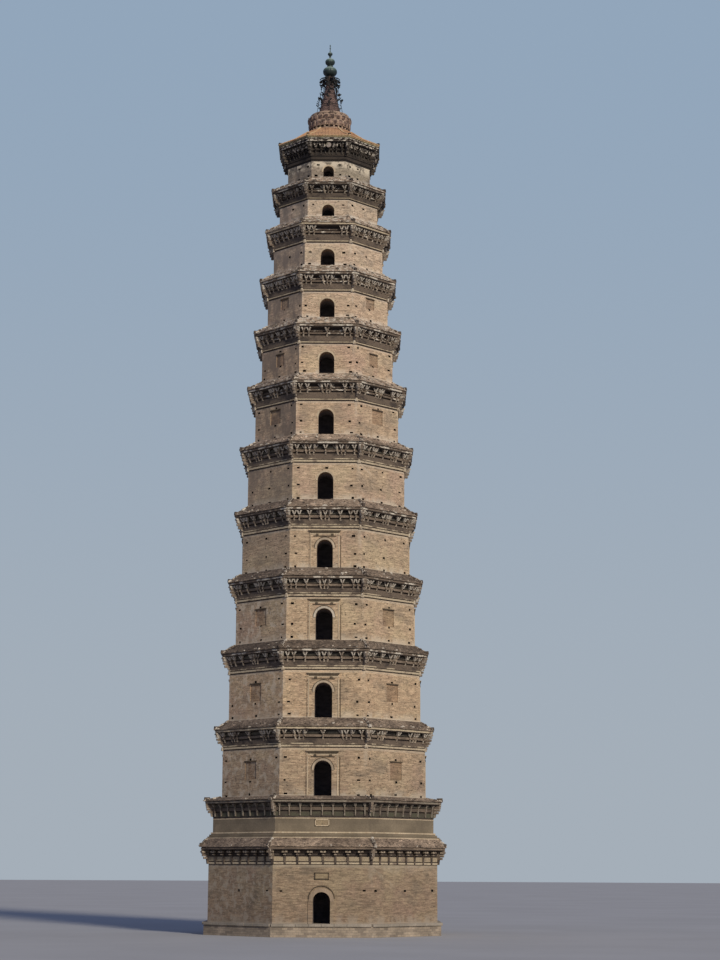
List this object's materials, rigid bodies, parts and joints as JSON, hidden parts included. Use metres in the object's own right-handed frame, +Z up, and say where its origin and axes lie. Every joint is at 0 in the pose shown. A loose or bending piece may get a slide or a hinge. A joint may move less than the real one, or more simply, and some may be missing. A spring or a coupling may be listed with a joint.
{
  "type": "octagonal thirteen-storey brick pagoda, a 1:2 scale model",
  "caption": "Tall tapering octagonal brick pagoda with bracketed eaves, arched windows, a hollow inside around a core, and a copper gourd finial.",
  "frame": {"origin": "centre of the plinth's underside, on the ground", "axes": "+Z up along the tower's axis, the entrance front faces -Y, two flats face +X and -X"},
  "size_m": [8.387, 8.387, 32.05],
  "materials": {
    "brick_wall": "weathered grey-yellow brick, laid in thin courses with pale joints",
    "plaster_wall": "old greyish plaster over brick",
    "cornice_brick": "dark weathered brick brackets and grey-brown tile slopes",
    "floor_brick": "dusty brick floor",
    "core_brick": "dull brick, unlit",
    "plinth_stone": "worn stone and brick with a stone coping",
    "plaque_stone": "bare pale stone tablet",
    "roof_tile": "new orange clay tile",
    "spire_brick": "dark red-brown moulded brick",
    "black_iron": "black wrought iron with rust",
    "green_copper": "dark copper with green patina"
  },
  "bodies": {
    "root": {"plinth": "plinth_stone", "core": "core_brick", "wall_01": "brick_wall", "cornice_01": "cornice_brick", "wall_02": "plaster_wall", "cornice_02": "cornice_brick", "wall_03": "brick_wall", "cornice_03": "cornice_brick", "wall_04": "brick_wall", "cornice_04": "cornice_brick", "wall_05": "brick_wall", "cornice_05": "cornice_brick", "wall_06": "brick_wall", "cornice_06": "cornice_brick", "wall_07": "brick_wall", "cornice_07": "cornice_brick", "wall_08": "brick_wall", "cornice_08": "cornice_brick", "wall_09": "brick_wall", "cornice_09": "cornice_brick", "wall_10": "brick_wall", "cornice_10": "cornice_brick", "wall_11": "brick_wall", "cornice_11": "cornice_brick", "wall_12": "brick_wall", "cornice_12": "cornice_brick", "wall_13": "brick_wall", "cornice_13": "cornice_brick", "floor_03": "floor_brick", "floor_04": "floor_brick", "floor_05": "floor_brick", "floor_06": "floor_brick", "floor_07": "floor_brick", "floor_08": "floor_brick", "floor_09": "floor_brick", "floor_10": "floor_brick", "floor_11": "floor_brick", "floor_12": "floor_brick", "floor_13": "floor_brick", "door_plaque": "plaque_stone", "upper_plaque": "plaque_stone", "top_roof": "roof_tile", "lotus_seat": "spire_brick", "spire_cone": "spire_brick", "spire_cage": "black_iron", "leaf_crown": "black_iron", "gourd_lower": "green_copper", "gourd_upper": "green_copper"}
  },
  "joints": []
}
